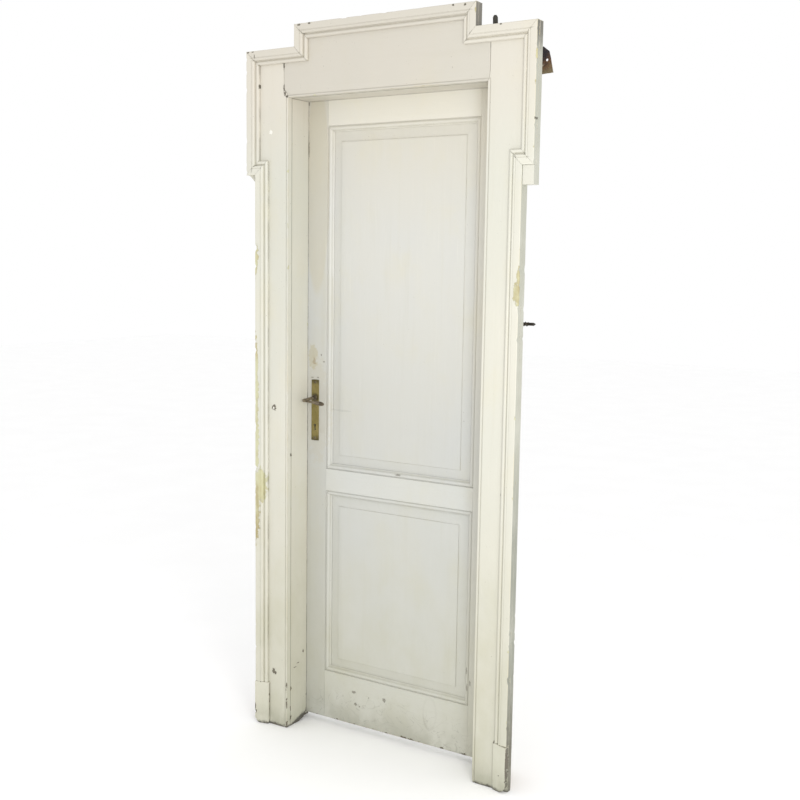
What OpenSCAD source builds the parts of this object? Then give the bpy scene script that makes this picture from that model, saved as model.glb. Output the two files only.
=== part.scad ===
/* [Opening] */
// Height from the floor to the head casing
opening_h = 2080; // [1960:10:2200]
// Width between the inner edges of the jamb casings
opening_w = 712; // [690:1:760]
// Depth of the lining, from the wall face to the leaf
lining_depth = 88.5; // [80:0.5:160]

/* [Casing] */
// Thickness of the casing boards
board_t = 20; // [16:1:26]
// Width of the planted moulding
moulding_w = 45; // [40:1:50]
// Projection of the moulding from the casing boards
moulding_h = 17.5; // [16:0.5:22]
// Half width at the moulding's inner edge, beside the opening
lower_half = 433.5; // [425:0.5:438]
// Half width at the moulding's inner edge, in the ears
ear_half = 469; // [460:0.5:480]
// Half width at the moulding's inner edge, in the raised centre
centre_half = 277; // [200:1:290]
// Height of the plinth blocks
plinth_h = 148; // [100:1:180]
// Projection of the plinth blocks' outer edges from the casing boards
plinth_d = 20; // [18:1:30]

/* [Leaf] */
// Thickness of the leaf
leaf_t = 39; // [36:0.5:44]
// Width of the leaf's visible stiles
stile_w = 94.5; // [94:0.5:110]
// Height of the middle rail above the floor
mid_rail_z = 811; // [700:1:850]

/* [Lock] */
// Height of the lever's spindle above the floor
spindle_z = 1119; // [1050:1:1150]
// Distance from the leaf's edge to the spindle
backset = 49.5; // [42:0.5:56]
// Length of the long plates
plate_l = 204; // [204:1:230]
// Width of the long plates
plate_w = 29; // [26:1:32]
// Length of the levers' grips
grip_l = 88; // [74:1:90]

/* [Hinges] */
// Height of the hinge flags
hinge_l = 140; // [120:2:160]
// Radius of the hinge pins
pin_r = 4; // [3.5:0.1:4.5]

/* [Hidden] */
$fn = 48;
e = 1;
running = 0.05;
crack = 0.6;

in_x = opening_w / 2;
face_y = -board_t;
low_out = lower_half + moulding_w;
ear_out = ear_half + moulding_w;
centre_out = centre_half + moulding_w;
ear_z = opening_h - 193;
shoulder_z = opening_h + 106.5;
centre_z = opening_h + 174.5;
ear_bottom = ear_z - moulding_w;
shoulder_top = shoulder_z + moulding_w;
centre_top = centre_z + moulding_w;
patch_z = ear_bottom - 54;
patch_d = 14;
quirk_in = 6.5;
quirk = 2;
joint_in = [17, 6];
joint_z = opening_h + 28;

lining_in = in_x;
lining_t = 32;
lining_out = lining_in + lining_t;
lining_z = opening_h;
rebate_in = lining_in + 20;
rebate_out = rebate_in + 30;
rebate_z = lining_z + 20;
rear_y = lining_depth + leaf_t + 1;

gap = 3;
leaf_x = rebate_in - gap;
leaf_y = lining_depth + 0.5;
leaf_back = leaf_y + leaf_t;
leaf_mid = leaf_y + leaf_t / 2;
leaf_bottom = 24;
leaf_top = rebate_z - gap;
panel_x = leaf_x - stile_w;
groove_d = 10;
groove_t = 12.2;
tongue_t = 12;
tongue = 9;
upper_z = [mid_rail_z + 73, leaf_top - 97];
lower_z = [leaf_bottom + 164, mid_rail_z];
bead_w = 18.5;
bevel_w = 32;
recess = (leaf_t - tongue_t) / 2;

lock_x = -leaf_x;
spindle_x = lock_x + backset;
case_t = 15;
case_x = [lock_x + 2.5, lock_x + 80];
case_z = [spindle_z - 138, spindle_z + 52];
wall = 1;
key_z = spindle_z - 92;
plate_t = 2.5;
plate_z = spindle_z - 41.5;
hub_r = 8;
follower_r = 9.5;
arm_r = 19;
arm_w = 5;
spindle_w = 8;
latch_z = [spindle_z + 13.5, spindle_z + 31.5];
latch_t = 12;
latch_out = 11.5;
bolt_z = [spindle_z - 79, spindle_z - 51];
bolt_t = 10;
bolt_throw = 18;
neck_l = 55;
elbow = -7.5;
sag = -6;
spindle_out = 17;
grip_r = 5;
neck_r = 4.5;
droop = 4.6;

hinge_x = leaf_x + gap / 2;
hinge_y = leaf_back + 9;
barrel_r = 7.5;
flag_t = 2;
flag_d = 30;
hinge_zs = [300, 1120, 1900];
flag_zs = [-48, 0, 48];
screw_r = 2;
head_r = 4;
plate_screw_l = 13;

anchor_y = 40;
nail_r = 3;
anchor_z = lining_z - 50;
tail_x = ear_out + 15;
plug_z = 1397;
strap_screws = [18, 42];

module box(x, y, z) {
    translate([x[0], y[0], z[0]]) cube([x[1] - x[0], y[1] - y[0], z[1] - z[0]]);
}

module rod_y(x, z, r, y) {
    translate([x, y[0], z]) rotate([-90, 0, 0]) cylinder(r = r, h = y[1] - y[0]);
}

module rod_x(y, z, r, x) {
    translate([x[0], y, z]) rotate([0, 90, 0]) cylinder(r = r, h = x[1] - x[0]);
}

module front_view(y) {
    translate([0, y[1], 0]) rotate([90, 0, 0]) linear_extrude(y[1] - y[0]) children();
}

module both_sides(side) {
    mirror([side == "left" ? 1 : 0, 0, 0]) children();
}

/* Casing: flat boards, planted mouldings and plinth blocks */

module jamb_board(side, foot) {
    joint = in_x + joint_in[side == "left" ? 0 : 1] + crack;
    both_sides(side) difference() {
        front_view([face_y, 0]) polygon(concat([[in_x, 0], [low_out, 0]], foot, [
            [ear_out, shoulder_top], [joint, shoulder_top], [joint, joint_z],
            [in_x + 4.5, opening_h + 12], [in_x, opening_h]]));
        box([in_x + quirk_in, in_x + quirk_in + quirk],
            [face_y - e, face_y + quirk], [-e, opening_h + quirk_in + quirk]);
        box([in_x - e, in_x + quirk_in + e], [face_y - e, face_y + quirk],
            [opening_h + quirk_in, opening_h + quirk_in + quirk]);
    }
}

module casing_left() {
    color("ivory") jamb_board("left", [
        [low_out, ear_bottom - 57], [low_out + 8, ear_bottom - 55],
        [low_out + 10, ear_bottom - 24], [ear_out, ear_bottom]]);
}

module casing_right() {
    color("ivory") difference() {
        union() {
            jamb_board("right", [[low_out, patch_z], [ear_out, patch_z]]);
            box([low_out, ear_out], [face_y - patch_d, face_y + e], [patch_z, ear_bottom]);
        }
        at_nail() translate([0, 0, -22]) cylinder(r = nail_r + running, h = 30);
    }
}

module at_nail() {
    translate([in_x + joint_in[1] + 8, -9, shoulder_top]) rotate([0, -3, 0]) children();
}

module casing_head() {
    half = [for (joint = joint_in) [[in_x, opening_h + crack], [in_x + 4, opening_h + 12 + crack],
        [in_x + joint, joint_z + crack], [in_x + joint, shoulder_top],
        [centre_out, shoulder_top], [centre_out, centre_top]]];
    color("ivory") difference() {
        front_view([face_y, 0]) polygon(concat(half[1],
            [for (i = [len(half[0]) - 1:-1:0]) [-half[0][i].x, half[0][i].y]]));
        box([-in_x - quirk_in, in_x + quirk_in], [face_y - e, face_y + quirk],
            [opening_h + quirk_in, opening_h + quirk_in + quirk]);
    }
}

function moulding_path() = [
    [[lower_half, plinth_h], [low_out, plinth_h]],
    [[lower_half, ear_z], [low_out, ear_bottom]],
    [[ear_half, ear_z], [ear_out, ear_bottom]],
    [[ear_half, shoulder_z], [ear_out, shoulder_top]],
    [[centre_half, shoulder_z], [centre_out, shoulder_top]],
    [[centre_half, centre_z], [centre_out, centre_top]]];

function arc(cx, cy, r, a, b, n) =
    [for (i = [0:n]) [cx + r * cos(a + (b - a) * i / n), cy + r * sin(a + (b - a) * i / n)]];

function moulding_profile() = concat(
    [[0, 0]],
    arc(6, 5, 6, 175, 25, 7),
    [[12.6, 6.5], [14.2, 6.5], [14.2, moulding_h - 5.5]],
    arc(20, moulding_h - 5.5, 4.5, 150, 60, 4),
    [[22.8, moulding_h - 2], [24.2, moulding_h - 2], [24.6, moulding_h]],
    arc(moulding_w - 2.5, moulding_h - 2.5, 2.5, 90, 10, 4),
    [[moulding_w, 0]]);

module profile_run(horizontal, start) {
    reach = 4 * opening_h;
    if (horizontal)
        translate([-reach / 2, face_y, start]) rotate([90, 0, 90])
            linear_extrude(reach) polygon([for (p = moulding_profile()) [-p.y, p.x]]);
    else
        translate([start, face_y, -reach / 4]) linear_extrude(reach) mirror([0, 1])
            polygon(moulding_profile());
}

module moulding(side, i) {
    path = moulding_path();
    a = path[i];
    b = path[i + 1];
    flat = abs(a[0].y - b[0].y) < e;
    slack = crack / 2;
    both_sides(side) intersection() {
        if (flat && a[1].y < a[0].y)
            mirror_z(a[0].y) profile_run(true, a[0].y);
        else
            profile_run(flat, flat ? a[0].y : a[0].x);
        front_view([face_y - moulding_h, face_y]) offset_free([a[0], a[1], b[1], b[0]], slack, flat);
    }
}

module mirror_z(z) {
    translate([0, 0, z]) mirror([0, 0, 1]) translate([0, 0, -z]) children();
}

module offset_free(q, slack, flat) {
    shift = flat ? [slack, 0] : [0, slack];
    way = flat ? sign(q[3].x - q[0].x) : sign(q[3].y - q[0].y);
    polygon([q[0] + way * shift, q[1] + way * shift, q[2] - way * shift, q[3] - way * shift]);
}

module mould_left_lower() {
    color("ivory") moulding("left", 0);
}

module mould_left_return() {
    color("ivory") moulding("left", 1);
}

module mould_left_ear() {
    color("ivory") moulding("left", 2);
}

module mould_left_shoulder() {
    color("ivory") moulding("left", 3);
}

module mould_left_rise() {
    color("ivory") moulding("left", 4);
}

module mould_right_lower() {
    color("ivory") moulding("right", 0);
}

module mould_right_return() {
    color("ivory") moulding("right", 1);
}

module mould_right_ear() {
    color("ivory") moulding("right", 2);
}

module mould_right_shoulder() {
    color("ivory") moulding("right", 3);
}

module mould_right_rise() {
    color("ivory") moulding("right", 4);
}

module mould_top() {
    slack = crack / 2;
    color("ivory") intersection() {
        profile_run(true, centre_z);
        front_view([face_y - moulding_h, face_y]) polygon([
            [-centre_half + slack, centre_z], [centre_half - slack, centre_z],
            [centre_out - slack, centre_top], [-centre_out + slack, centre_top]]);
    }
}

module plinth(side) {
    foot_in = lower_half - 5;
    both_sides(side) linear_extrude(plinth_h - crack) polygon([
        [foot_in, face_y], [foot_in, face_y - 7], [low_out, face_y - plinth_d], [low_out, face_y]]);
}

module plinth_left() {
    color("ivory") plinth("left");
}

module plinth_right() {
    color("ivory") plinth("right");
}

/* Lining and rebate: the reveal and the stop that the leaf closes in */

module strap_holes(side) {
    both_sides(side) for (d = strap_screws)
        rod_x(anchor_y + 22, anchor_z + d, screw_r + running, [lining_in + 4, lining_out + e]);
}

module lining_left() {
    color("ivory") difference() {
        box([-lining_out, -lining_in], [0, lining_depth], [0, lining_z]);
        strap_holes("left");
    }
}

module lining_right() {
    color("ivory") difference() {
        box([lining_in, lining_out], [0, lining_depth], [0, lining_z]);
        strap_holes("right");
        rod_x(anchor_y, plug_z, 4 + running, [lining_out - 24, lining_out + e]);
    }
}

module lining_head() {
    color("ivory")
        box([-lining_out, lining_out], [0, lining_depth], [lining_z, lining_z + lining_t]);
}

module rebate_left() {
    color("ivory") difference() {
        box([-rebate_out, -rebate_in], [lining_depth, rear_y], [0, rebate_z]);
        box([-rebate_in - flag_t, -rebate_in + e], [leaf_mid - 13, leaf_mid + 13],
            [spindle_z - 120, spindle_z + 60]);
        box([-rebate_in - 14, -rebate_in + e], [leaf_mid - latch_t / 2 - 1, leaf_mid + latch_t / 2 + 1],
            [latch_z[0] - 2, latch_z[1] + 2]);
        box([-rebate_in - bolt_throw - 2, -rebate_in + e],
            [leaf_mid - bolt_t / 2 - 1, leaf_mid + bolt_t / 2 + 1],
            [bolt_z[0] - 2, bolt_z[1] + 2]);
        for (z = [spindle_z - 110, spindle_z + 50])
            rod_x(leaf_mid, z, screw_r + running, [-rebate_in - 24, -rebate_in]);
    }
}

module rebate_right() {
    color("ivory") difference() {
        box([rebate_in, rebate_out], [lining_depth, rear_y], [0, rebate_z]);
        for (h = hinge_zs) {
            box([rebate_in - e, rebate_in + flag_t], [rear_y - flag_d, rear_y + e],
                [h - hinge_l / 2 - 0.2, h + hinge_l / 2 + 0.2]);
            for (z = flag_zs)
                rod_x(rear_y - flag_d / 2, h + z, screw_r + running, [rebate_in, rebate_in + 24]);
        }
    }
}

module rebate_head() {
    color("ivory")
        box([-rebate_out, rebate_out], [lining_depth, rear_y], [rebate_z, rebate_z + 30]);
}

module strike_plate() {
    x = [-rebate_in - flag_t, -rebate_in];
    color("dimgray") difference() {
        box(x, [leaf_mid - 12.8, leaf_mid + 12.8], [spindle_z - 119.8, spindle_z + 59.8]);
        box([x[0] - e, x[1] + e], [leaf_mid - latch_t / 2 - 1, leaf_mid + latch_t / 2 + 1],
            [latch_z[0] - 2, latch_z[1] + 2]);
        box([x[0] - e, x[1] + e], [leaf_mid - bolt_t / 2 - 1, leaf_mid + bolt_t / 2 + 1],
            [bolt_z[0] - 2, bolt_z[1] + 2]);
        for (z = [spindle_z - 110, spindle_z + 50])
            countersunk([-rebate_in, leaf_mid, z], [0, -90, 0], running);
    }
}

/* Fixings: countersunk screws, driven along their own +Z */

module countersunk(at, turn, slack, length = 20) {
    translate(at) rotate(turn) rotate_extrude()
        polygon([[0, -slack], [head_r + slack, -slack], [head_r + slack, 0.4],
            [screw_r + slack, 2], [screw_r + slack, length], [0, length]]);
}

module frame_screws() {
    color("slategray") {
        for (z = [spindle_z - 110, spindle_z + 50])
            countersunk([-rebate_in, leaf_mid, z], [0, -90, 0], 0);
        for (h = hinge_zs, z = flag_zs)
            countersunk([rebate_in, rear_y - flag_d / 2, h + z], [0, 90, 0], 0);
        for (s = ["left", "right"], d = strap_screws)
            both_sides(s)
                countersunk([lining_out + 3, anchor_y + 22, anchor_z + d], [0, -90, 0], 0);
    }
}

module leaf_screws() {
    color("slategray") {
        for (h = hinge_zs, z = flag_zs)
            countersunk([leaf_x, leaf_back - flag_d / 2, h + z], [0, -90, 0], 0);
        for (z = [case_z[0] - 6, case_z[1] + 6])
            countersunk([lock_x, leaf_mid, z], [0, 90, 0], 0);
    }
}

module plate_screws() {
    color("darkgoldenrod") for (z = [-1, 1], m = [0, 1])
        across_leaf(m) countersunk([spindle_x, leaf_y - plate_t, plate_z + z * (plate_l / 2 - 9)],
            [-90, 0, 0], 0, plate_screw_l);
}

/* Lift-off hinges: the frame half carries the pin, the leaf half stands on it */

module hinge_half(h, upper, x, y0) {
    z = upper ? [h + 0.5, h + hinge_l / 2] : [h - hinge_l / 2, h];
    turn = upper ? -90 : 90;
    color("dimgray") difference() {
        union() {
            box([x, x + flag_t], [y0 - flag_d, y0], [h - hinge_l / 2, h + hinge_l / 2]);
            box([x, x + flag_t], [y0 - e, hinge_y], z);
            translate([hinge_x, hinge_y, z[0]]) cylinder(r = barrel_r, h = z[1] - z[0]);
        }
        translate([hinge_x, hinge_y, h - hinge_l / 2 + (upper ? 10 : 8)])
            cylinder(r = pin_r + (upper ? running : 0), h = hinge_l - 20);
        for (d = flag_zs)
            countersunk([upper ? x + flag_t : x, y0 - flag_d / 2, h + d], [0, turn, 0], running);
    }
}

module hinge_frame(h) {
    hinge_half(h, false, rebate_in, rear_y);
    color("dimgray") translate([hinge_x, hinge_y, h - hinge_l / 2 - 12]) rotate_extrude()
        polygon([[0, 0], [2.5, 0], [4.5, 3], [2.8, 6], [6.5, 9], [6.5, 12], [0, 12]]);
}

module hinge_leaf(h) {
    hinge_half(h, true, leaf_x - flag_t, leaf_back);
    color("dimgray") translate([hinge_x, hinge_y, h + hinge_l / 2]) rotate_extrude()
        polygon([[0, 0], [6.5, 0], [6.5, 3], [2.8, 6], [4.5, 9], [2.5, 12], [0, 12]]);
}

module hinge_pin(h) {
    color("silver") translate([hinge_x, hinge_y, h - hinge_l / 2 + 8])
        cylinder(r = pin_r, h = hinge_l - 19);
}

module hinge_frame_bottom() {
    hinge_frame(hinge_zs[0]);
}

module hinge_frame_middle() {
    hinge_frame(hinge_zs[1]);
}

module hinge_frame_top() {
    hinge_frame(hinge_zs[2]);
}

module hinge_pin_bottom() {
    hinge_pin(hinge_zs[0]);
}

module hinge_pin_middle() {
    hinge_pin(hinge_zs[1]);
}

module hinge_pin_top() {
    hinge_pin(hinge_zs[2]);
}

module hinge_leaf_bottom() {
    hinge_leaf(hinge_zs[0]);
}

module hinge_leaf_middle() {
    hinge_leaf(hinge_zs[1]);
}

module hinge_leaf_top() {
    hinge_leaf(hinge_zs[2]);
}

/* Wall fixings behind the casing */

module anchor(side) {
    both_sides(side) color("sienna") difference() {
        union() {
            box([lining_out, lining_out + 3], [anchor_y - 1.5, anchor_y + 34],
                [anchor_z, anchor_z + 58]);
            front_view([anchor_y - 1.5, anchor_y + 1.5]) polygon([
                [lining_out, anchor_z], [lining_out, anchor_z + 58],
                [tail_x - 32, anchor_z + 142], [tail_x - 14, anchor_z + 128],
                [tail_x - 9, anchor_z + 110], [tail_x, anchor_z + 68], [tail_x - 34, anchor_z + 66]]);
        }
        rod_y(tail_x - 20, anchor_z + 104, 3.5, [anchor_y - 3, anchor_y + 3]);
        for (d = strap_screws)
            countersunk([lining_out + 3, anchor_y + 22, anchor_z + d], [0, -90, 0], running);
    }
}

module anchor_left() {
    anchor("left");
}

module anchor_right() {
    anchor("right");
}

module wall_screw() {
    pitch = 9;
    turns = 9;
    start = 24;
    tip = start + turns * pitch + 25;
    thread = [for (i = [0:turns - 1]) each [[4.6, start + i * pitch], [5, start + (i + 0.2) * pitch],
        [7, start + (i + 0.45) * pitch], [7, start + (i + 0.65) * pitch]]];
    color("dimgray") translate([lining_out - 22, anchor_y, plug_z]) rotate([0, 90, 0])
        rotate_extrude() polygon(concat([[0, 0], [4, 0], [4, 22.5], [4.6, 22.5]], thread,
            [[5.5, start + turns * pitch], [5, tip], [0, tip]]));
}

module nail() {
    color("dimgray") at_nail() rotate_extrude() polygon([[0, -20], [nail_r, -20], [nail_r, 2],
        [7.5, 4], [7.5, 22], [6, 26], [3.5, 29], [0, 30]]);
}

/* Leaf: stiles, rails, fielded panels and their beads */

module across_leaf(back) {
    translate([0, back * 2 * leaf_mid, 0]) mirror([0, back, 0]) children();
}

module groove_x(x) {
    box(x, [leaf_mid - groove_t / 2, leaf_mid + groove_t / 2], [leaf_bottom - e, leaf_top + e]);
}

module stile_lock() {
    color("ivory") difference() {
        box([lock_x, -panel_x], [leaf_y, leaf_back], [leaf_bottom, leaf_top]);
        groove_x([-panel_x - groove_d, -panel_x + e]);
        box([lock_x - e, case_x[1] + 0.5], [leaf_mid - case_t / 2 - 0.5, leaf_mid + case_t / 2 + 0.5],
            [case_z[0] - 0.5, case_z[1] + 0.5]);
        box([lock_x - e, lock_x + 2.5], [leaf_mid - 11, leaf_mid + 11], [case_z[0] - 12, case_z[1] + 12]);
        for (z = [case_z[0] - 6, case_z[1] + 6])
            rod_x(leaf_mid, z, screw_r + running, [lock_x, lock_x + 24]);
        rod_y(spindle_x, spindle_z, 11, [leaf_y - e, leaf_back + e]);
        box([spindle_x - 4, spindle_x + 4], [leaf_y - e, leaf_back + e], [key_z - 20, key_z + 6]);
        for (m = [0, 1], z = [-1, 1])
            across_leaf(m) rod_y(spindle_x, plate_z + z * (plate_l / 2 - 9), screw_r + running,
                [leaf_y - e, leaf_y - plate_t + plate_screw_l]);
    }
}

module stile_hinge() {
    color("ivory") difference() {
        box([panel_x, leaf_x], [leaf_y, leaf_back], [leaf_bottom, leaf_top]);
        groove_x([panel_x - e, panel_x + groove_d]);
        for (h = hinge_zs) {
            box([leaf_x - flag_t, leaf_x + e], [leaf_back - flag_d, leaf_back + e],
                [h - hinge_l / 2 - 0.2, h + hinge_l / 2 + 0.2]);
            for (z = flag_zs)
                rod_x(leaf_back - flag_d / 2, h + z, screw_r + running, [leaf_x - 24, leaf_x]);
        }
    }
}

module rail(z, groove_below, groove_above) {
    y = [leaf_mid - groove_t / 2, leaf_mid + groove_t / 2];
    color("ivory") difference() {
        union() {
            box([-panel_x, panel_x], [leaf_y, leaf_back], z);
            box([-panel_x - groove_d, panel_x + groove_d],
                [leaf_mid - tongue_t / 2, leaf_mid + tongue_t / 2], z);
        }
        if (groove_below)
            box([-leaf_x, leaf_x], y, [z[0] - e, z[0] + groove_d]);
        if (groove_above)
            box([-leaf_x, leaf_x], y, [z[1] - groove_d, z[1] + e]);
    }
}

module rail_top() {
    rail([upper_z[1], leaf_top], true, false);
}

module rail_middle() {
    rail([lower_z[1], upper_z[0]], true, true);
}

module rail_bottom() {
    rail([leaf_bottom, lower_z[0]], false, true);
}

module sheet(inset, z, y) {
    box([-panel_x + inset, panel_x - inset], y, [z[0] + inset, z[1] - inset]);
}

module panel(z) {
    thin = 0.01;
    bevel = [leaf_mid - tongue_t / 2, leaf_y + 8];
    color("ivory") {
        sheet(-tongue, z, [leaf_mid - tongue_t / 2, leaf_mid + tongue_t / 2]);
        for (m = [0, 1]) across_leaf(m) {
            hull() {
                sheet(bead_w, z, [bevel[0], bevel[0] + thin]);
                sheet(bead_w + bevel_w - 3, z, [bevel[1], bevel[1] + thin]);
            }
            sheet(bead_w + bevel_w, z, [leaf_y + 5.5, leaf_mid]);
        }
    }
}

module panel_upper() {
    panel(upper_z);
}

module panel_lower() {
    panel(lower_z);
}

function bead_profile() = concat(
    [[0, recess], [0, 2.4], [1.2, 3.4]],
    arc(7.5, 6.6, 6, -165, -15, 8),
    [[14.6, 8.6], [bead_w - 1, 10], [bead_w, 11], [bead_w, recess]]);

module bead_strip(length) {
    slack = crack / 2;
    intersection() {
        rotate([90, 0, 90]) linear_extrude(length)
            polygon([for (p = bead_profile()) [p.y, p.x]]);
        translate([0, leaf_t, 0]) rotate([90, 0, 0]) linear_extrude(2 * leaf_t) polygon([
            [slack, 0], [length - slack, 0],
            [length - bead_w - slack, bead_w], [bead_w + slack, bead_w]]);
    }
}

module bead_frame(z) {
    w = 2 * panel_x;
    h = z[1] - z[0];
    color("ivory") translate([0, leaf_y, (z[0] + z[1]) / 2]) for (t = [0:90:270])
        rotate([0, t, 0]) translate([-(t % 180 == 0 ? w : h) / 2, 0, -(t % 180 == 0 ? h : w) / 2])
            bead_strip(t % 180 == 0 ? w : h);
}

module bead_upper_front() {
    bead_frame(upper_z);
}

module bead_upper_back() {
    across_leaf(1) bead_frame(upper_z);
}

module bead_lower_front() {
    bead_frame(lower_z);
}

module bead_lower_back() {
    across_leaf(1) bead_frame(lower_z);
}

/* Mortise lock, plates and levers */

module keyhole_outline() {
    circle(r = 3.7);
    polygon([[-2, 0], [2, 0], [2, -8], [3, -17], [-3, -17], [-2, -8]]);
}

module keyhole(y) {
    front_view(y) translate([spindle_x, key_z]) keyhole_outline();
}

module lock_case() {
    y = [leaf_mid - case_t / 2, leaf_mid + case_t / 2];
    color("slategray") difference() {
        box(case_x, y, case_z);
        box([case_x[0] + wall, case_x[1] - wall], [y[0] + wall, y[1] - wall],
            [case_z[0] + wall, case_z[1] - wall]);
        box([case_x[0] - e, case_x[0] + 3], [leaf_mid - latch_t / 2 - 0.3, leaf_mid + latch_t / 2 + 0.3],
            [latch_z[0] - 0.3, latch_z[1] + 0.3]);
        box([case_x[0] - e, case_x[0] + 3], [leaf_mid - bolt_t / 2 - 0.3, leaf_mid + bolt_t / 2 + 0.3],
            [bolt_z[0] - 0.3, bolt_z[1] + 0.3]);
        rod_y(spindle_x, spindle_z, hub_r + running, [y[0] - e, y[1] + e]);
        keyhole([y[0] - e, y[1] + e]);
    }
}

module lock_forend() {
    x = [lock_x, lock_x + 2.5];
    color("slategray") difference() {
        box(x, [leaf_mid - 10.8, leaf_mid + 10.8], [case_z[0] - 11.8, case_z[1] + 11.8]);
        box([x[0] - e, x[1] + e], [leaf_mid - latch_t / 2 - 0.3, leaf_mid + latch_t / 2 + 0.3],
            [latch_z[0] - 0.3, latch_z[1] + 0.3]);
        box([x[0] - e, x[1] + e], [leaf_mid - bolt_t / 2 - 0.3, leaf_mid + bolt_t / 2 + 0.3],
            [bolt_z[0] - 0.3, bolt_z[1] + 0.3]);
        for (z = [case_z[0] - 6, case_z[1] + 6])
            countersunk([lock_x, leaf_mid, z], [0, 90, 0], running);
    }
}

module latch_bolt() {
    tail_end = spindle_x + arm_w / 2 + 0.3;
    y = [leaf_mid - latch_t / 2, leaf_mid + latch_t / 2];
    color("gray") difference() {
        union() {
            box([lock_x - latch_out, lock_x + 14], y, latch_z);
            box([lock_x + 14, tail_end], [leaf_mid - 2, leaf_mid + 2], [latch_z[1] - 7, latch_z[1]]);
            box([tail_end, tail_end + 4], [leaf_mid - 4, leaf_mid + 4], [latch_z[0], latch_z[1]]);
        }
        translate([lock_x - 0.5, y[0], latch_z[0] - e]) rotate([0, 0, 45])
            translate([-20, -20, 0]) cube([20, 40, latch_z[1] - latch_z[0] + 2 * e]);
    }
}

module dead_bolt() {
    color("gray") {
        box([lock_x + 0.3, lock_x + 34], [leaf_mid - bolt_t / 2, leaf_mid + bolt_t / 2], bolt_z);
        box([lock_x + 34, lock_x + 66], [leaf_mid - 1.5, leaf_mid + 1.5],
            [bolt_z[0] + 4, bolt_z[1] - 4]);
    }
}

module spindle_square(slack, y) {
    half = spindle_w / 2 + slack;
    translate([spindle_x, 0, spindle_z]) rotate([0, droop, 0])
        box([-half, half], y, [-half, half]);
}

module spindle() {
    color("dimgray") spindle_square(0, [leaf_y - spindle_out, leaf_back + spindle_out]);
}

module follower() {
    color("slategray") difference() {
        union() {
            rod_y(spindle_x, spindle_z, hub_r, [leaf_mid - case_t / 2, leaf_mid + case_t / 2]);
            rod_y(spindle_x, spindle_z, follower_r, [leaf_mid - 5.5, leaf_mid + 5.5]);
            box([spindle_x - arm_w / 2, spindle_x + arm_w / 2], [leaf_mid - 4, leaf_mid + 4],
                [spindle_z + 6, spindle_z + arm_r]);
        }
        spindle_square(running, [leaf_y, leaf_back]);
    }
}

module plate_outline() {
    difference() {
        intersection() {
            square([plate_w, plate_l], center = true);
            circle(r = plate_l / 2, $fn = 96);
        }
        translate([0, -plate_z + key_z]) keyhole_outline();
    }
}

module plate(back) {
    across_leaf(back) color("darkkhaki") difference() {
        union() {
            front_view([leaf_y - plate_t, leaf_y]) translate([spindle_x, plate_z]) plate_outline();
            rod_y(spindle_x, spindle_z, 11, [leaf_y - plate_t - 3, leaf_y - plate_t]);
        }
        rod_y(spindle_x, spindle_z, hub_r + running, [leaf_y - 10, leaf_y + e]);
        for (z = [-1, 1])
            countersunk([spindle_x, leaf_y - plate_t, plate_z + z * (plate_l / 2 - 9)],
                [-90, 0, 0], running);
    }
}

module plate_front() {
    plate(0);
}

module plate_back() {
    plate(1);
}

module lever_shape() {
    neck_start = 14;
    way = [elbow, neck_start - neck_l, sag];
    translate([0, leaf_y, 0]) rotate([90, 0, 0]) rotate_extrude()
        polygon([[0, 0.5], [hub_r, 0.5], [hub_r, 5.8], [9.5, 5.8], [9.5, 8], [7.2, 18], [0, 18]]);
    translate([0, leaf_y - neck_start, 0])
        rotate([0, acos(way.z / norm(way)), atan2(way.y, way.x)])
            cylinder(r = neck_r, h = norm(way));
    translate([elbow, leaf_y - neck_l, sag]) rotate([0, 90, 0]) rotate_extrude() polygon([
        [0, -grip_r - 2], [grip_r - 1, -grip_r - 2], [grip_r, -grip_r - 1], [grip_r, 8], [4, 11],
        [3.8, 22], [4.6, 44], [4.6, grip_l - 4], [2.5, grip_l], [0, grip_l]]);
}

module lever(back) {
    color("dimgray") difference() {
        translate([spindle_x, 0, spindle_z]) rotate([0, droop, 0])
            across_leaf(back) lever_shape();
        spindle_square(running, [leaf_y - spindle_out - 0.2, leaf_back + spindle_out + 0.2]);
    }
}

module lever_front() {
    lever(0);
}

module lever_back() {
    lever(1);
}

casing_left();
casing_right();
casing_head();
mould_left_lower();
mould_left_return();
mould_left_ear();
mould_left_shoulder();
mould_left_rise();
mould_top();
mould_right_lower();
mould_right_return();
mould_right_ear();
mould_right_shoulder();
mould_right_rise();
plinth_left();
plinth_right();
lining_left();
lining_right();
lining_head();
rebate_left();
rebate_right();
rebate_head();
strike_plate();
frame_screws();
hinge_frame_bottom();
hinge_frame_middle();
hinge_frame_top();
hinge_pin_bottom();
hinge_pin_middle();
hinge_pin_top();
anchor_left();
anchor_right();
wall_screw();
nail();
stile_lock();
stile_hinge();
rail_top();
rail_middle();
rail_bottom();
panel_upper();
panel_lower();
bead_upper_front();
bead_upper_back();
bead_lower_front();
bead_lower_back();
lock_case();
lock_forend();
leaf_screws();
plate_front();
plate_back();
plate_screws();
hinge_leaf_bottom();
hinge_leaf_middle();
hinge_leaf_top();
lever_front();
lever_back();
spindle();
follower();
latch_bolt();
dead_bolt();
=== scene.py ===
# Looks of the panelled door set: worn painted timber, tarnished lever furniture and rusty wall fixings.

import math
import random

import bmesh
import bpy
from mathutils import Matrix, Vector, noise


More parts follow.
